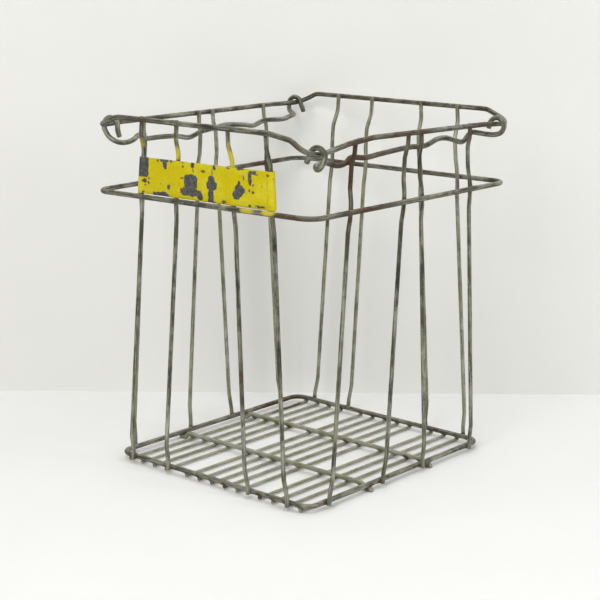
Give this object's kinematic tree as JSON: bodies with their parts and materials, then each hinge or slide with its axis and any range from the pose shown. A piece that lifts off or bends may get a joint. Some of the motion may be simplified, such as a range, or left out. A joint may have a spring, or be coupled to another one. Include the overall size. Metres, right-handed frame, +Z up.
{
  "type": "milk bottle crate",
  "caption": "Welded wire crate for milk bottles, with a grid floor, a middle hoop, swinging bail handles and a folded sheet name plate.",
  "frame": {"origin": "on the ground, below the middle of the crate's bounding box", "axes": "+Z up; -Y is the side that carries the name plate, +Y the plain side; the two handles hang along the -X and +X sides"},
  "size_m": [0.2715, 0.2868, 0.3202],
  "materials": {
    "zinc_wire": "weathered galvanised wire with a dull grey-green patina and spots of brown rust",
    "yellow_plate": "yellow gloss paint on sheet steel, chipped to bare grey metal"
  },
  "bodies": {
    "crate": {"top_rim": "zinc_wire", "middle_hoop": "zinc_wire", "base_frame": "zinc_wire", "floor_wire_01": "zinc_wire", "floor_wire_02": "zinc_wire", "floor_wire_03": "zinc_wire", "floor_wire_04": "zinc_wire", "floor_wire_05": "zinc_wire", "floor_wire_06": "zinc_wire", "floor_wire_07": "zinc_wire", "floor_wire_08": "zinc_wire", "floor_wire_09": "zinc_wire", "floor_wire_10": "zinc_wire", "floor_wire_11": "zinc_wire", "floor_wire_12": "zinc_wire", "floor_wire_13": "zinc_wire", "cross_bar_front": "zinc_wire", "cross_bar_back": "zinc_wire", "upright_front_1": "zinc_wire", "upright_front_2": "zinc_wire", "upright_front_3": "zinc_wire", "upright_front_4": "zinc_wire", "upright_back_1": "zinc_wire", "upright_back_2": "zinc_wire", "upright_back_3": "zinc_wire", "upright_back_4": "zinc_wire", "upright_left_1": "zinc_wire", "upright_left_2": "zinc_wire", "upright_left_3": "zinc_wire", "upright_left_4": "zinc_wire", "upright_right_1": "zinc_wire", "upright_right_2": "zinc_wire", "upright_right_3": "zinc_wire", "upright_right_4": "zinc_wire", "name_plate": "yellow_plate"},
    "left_bail": {"handle_left": "zinc_wire"},
    "right_bail": {"handle_right": "zinc_wire"}
  },
  "joints": [
    {"name": "left_handle_swing", "type": "hinge", "parent": "crate", "child": "left_bail", "pos_m": [-0.12587, 0.0057, 0.30652], "axis": [-0.0021, -1, -0.0045], "range_deg": [0, 290]},
    {"name": "right_handle_swing", "type": "hinge", "parent": "crate", "child": "right_bail", "pos_m": [0.1259, -0.0062, 0.30444], "axis": [0.004, 0.9999, 0.0163], "range_deg": [0, 290]}
  ]
}
